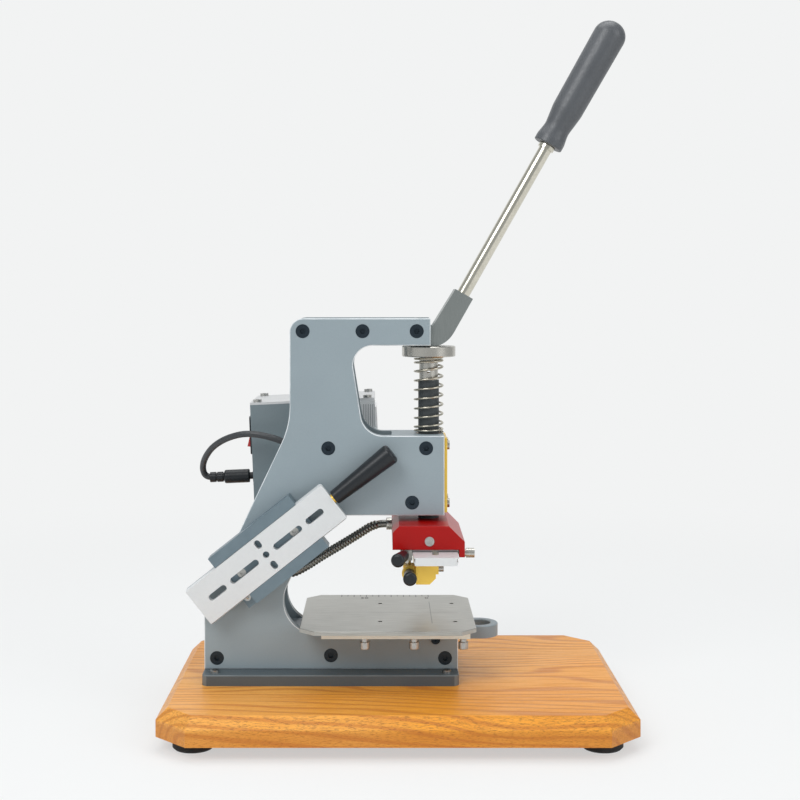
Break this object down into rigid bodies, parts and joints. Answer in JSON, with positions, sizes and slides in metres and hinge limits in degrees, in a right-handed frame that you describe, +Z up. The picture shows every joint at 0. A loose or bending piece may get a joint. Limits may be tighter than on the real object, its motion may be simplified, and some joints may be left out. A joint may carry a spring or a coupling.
{
  "type": "leather belt embossing machine",
  "caption": "Lever-operated bench press for hot embossing leather belts, with a cam lever, heated head, slotted type plate, sliding table and control box on a wooden board.",
  "frame": {"origin": "under the middle of the board, on the surface that the feet stand on", "axes": "+X to the front of the machine, where the user stands and the lever comes down; +Y away from the side that carries the storage rail; +Z up"},
  "size_m": [0.345, 0.24, 0.5295],
  "materials": {
    "painted_steel": "satin",
    "base_steel": "satin",
    "oak": "oiled",
    "black_rubber": "matt",
    "bright_steel": "satin",
    "dark_screw": "black oxide",
    "chrome_rod": "polished",
    "red_paint": "gloss",
    "brass": "polished",
    "black_plastic": "semi-gloss",
    "grip_plastic": "matt",
    "rail_alloy": "anodised",
    "pale_alloy": "brushed",
    "white_cover": "satin",
    "insulation": "matt",
    "bronze": "machined",
    "red_plastic": "gloss",
    "cable_jacket": "matt",
    "hose_sheath": "matt"
  },
  "bodies": {
    "frame": {"base_board": "oak", "rubber_feet": "black_rubber", "base_plate": "base_steel", "base_block": "painted_steel", "near_side_plate": "painted_steel", "far_side_plate": "painted_steel", "frame_screws": "dark_screw", "frame_spacers": "bright_steel", "guide_block": "painted_steel", "guide_bushes": "bronze", "front_cover_plate": "brass", "fixing_screws": "bright_steel", "pivot_pin": "bright_steel", "press_spring": "chrome_rod", "heater_hose": "hose_sheath", "cable_clamp": "black_plastic", "storage_bracket": "rail_alloy", "ball_plunger": "bright_steel", "control_box": "painted_steel", "control_box_lid": "pale_alloy", "control_box_front": "white_cover", "temperature_controller": "black_plastic", "power_inlet": "black_plastic", "dc_socket": "black_plastic", "dc_plug": "black_plastic", "dc_lead": "cable_jacket"},
    "lever": {"lever_arm": "bright_steel", "lever_rod": "chrome_rod", "lever_grip": "grip_plastic"},
    "press": {"press_shaft": "bright_steel", "shaft_sleeve": "dark_screw", "head_housing": "red_paint", "housing_screws": "bright_steel", "insulation_board": "insulation", "heater_block": "pale_alloy", "heater_cartridges": "bright_steel", "clamp_rail": "bright_steel", "hose_gland": "bright_steel"},
    "wheel": {"pressure_wheel": "bright_steel"},
    "die": {"die_plate": "pale_alloy", "type_holder": "brass"},
    "lock_screw": {"die_lock_screw": "bright_steel"},
    "side_screw": {"type_side_screw": "bright_steel"},
    "plate_clamp": {"plate_clamp_knob": "black_plastic", "plate_clamp_stud": "bright_steel"},
    "type_clamp": {"type_clamp_knob": "black_plastic"},
    "table": {"table_plate": "bright_steel", "table_underplate": "bright_steel", "table_slide_bar": "bright_steel"},
    "thumb_rear": {"table_thumb_screw_rear": "bright_steel"},
    "thumb_middle": {"table_thumb_screw_middle": "bright_steel"},
    "thumb_front": {"table_thumb_screw_front": "bright_steel"},
    "spare": {"spare_plate": "pale_alloy", "spare_handle": "black_plastic", "spare_handle_stud": "brass"},
    "set_button": {"button_set": "black_plastic"},
    "down_button": {"button_down": "black_plastic"},
    "up_button": {"button_up": "black_plastic"},
    "rocker": {"rocker_switch": "red_plastic"}
  },
  "joints": [
    {"name": "lever_swing", "type": "hinge", "parent": "frame", "child": "lever", "pos_m": [0.0127, 0, 0.293], "axis": [0, 1, 0], "range_deg": [0, 60]},
    {"name": "press_slide", "type": "slide", "parent": "frame", "child": "press", "axis": [0, 0, -1], "range_m": [0, 0.01365], "stiffness_N_per_m": 1500, "springref_m": -0.035, "deforming": ["press_spring", "heater_hose"]},
    {"name": "wheel_turn", "type": "hinge", "parent": "press", "child": "wheel", "pos_m": [0.0224, 0, 0.2771], "axis": [0, 0, 1], "continuous": true},
    {"name": "die_slide", "type": "slide", "parent": "press", "child": "die", "axis": [0, -1, 0], "range_m": [0, 0.11]},
    {"name": "die_lock_turn", "type": "hinge", "parent": "press", "child": "lock_screw", "pos_m": [0.05, -0.033, 0.128], "axis": [1, 0, 0], "continuous": true},
    {"name": "plate_clamp_turn", "type": "hinge", "parent": "press", "child": "plate_clamp", "pos_m": [0.0043, -0.04, 0.1283], "axis": [-0.2419, -0.9703, 0], "continuous": true},
    {"name": "type_clamp_turn", "type": "hinge", "parent": "die", "child": "type_clamp", "pos_m": [0.0069, -0.0465, 0.11498], "axis": [0, -1, 0], "continuous": true},
    {"name": "type_side_turn", "type": "hinge", "parent": "die", "child": "side_screw", "pos_m": [0.03, -0.044, 0.11858], "axis": [1, 0, 0], "continuous": true},
    {"name": "table_slide", "type": "slide", "parent": "frame", "child": "table", "axis": [1, 0, 0], "range_m": [0, 0.06]},
    {"name": "thumb_rear_turn", "type": "hinge", "parent": "table", "child": "thumb_rear", "pos_m": [-0.0261, -0.05, 0.064], "axis": [0, 0, 1], "continuous": true},
    {"name": "thumb_middle_turn", "type": "hinge", "parent": "table", "child": "thumb_middle", "pos_m": [0.0101, -0.05, 0.064], "axis": [0, 0, 1], "continuous": true},
    {"name": "thumb_front_turn", "type": "hinge", "parent": "table", "child": "thumb_front", "pos_m": [0.0464, -0.05, 0.064], "axis": [0, 0, 1], "continuous": true},
    {"name": "spare_slide", "type": "slide", "parent": "frame", "child": "spare", "axis": [0.7848, 0, 0.6198], "range_m": [0, 0.11]},
    {"name": "set_press", "type": "slide", "parent": "frame", "child": "set_button", "axis": [-0.9991, 0, -0.0419], "range_m": [0, 0.0008], "stiffness_N_per_m": 500, "springref_m": -0.002},
    {"name": "down_press", "type": "slide", "parent": "frame", "child": "down_button", "axis": [-0.9991, 0, -0.0419], "range_m": [0, 0.0008], "stiffness_N_per_m": 500, "springref_m": -0.002},
    {"name": "up_press", "type": "slide", "parent": "frame", "child": "up_button", "axis": [-0.9991, 0, -0.0419], "range_m": [0, 0.0008], "stiffness_N_per_m": 500, "springref_m": -0.002},
    {"name": "rocker_tilt", "type": "hinge", "parent": "frame", "child": "rocker", "pos_m": [-0.11343, 0.04602, 0.20856], "axis": [0, -1, 0], "range_deg": [0, 16]}
  ],
  "couplings": [
    {"joint": "press_slide", "follows": "lever_swing", "m_per_rad": 0.013}
  ]
}
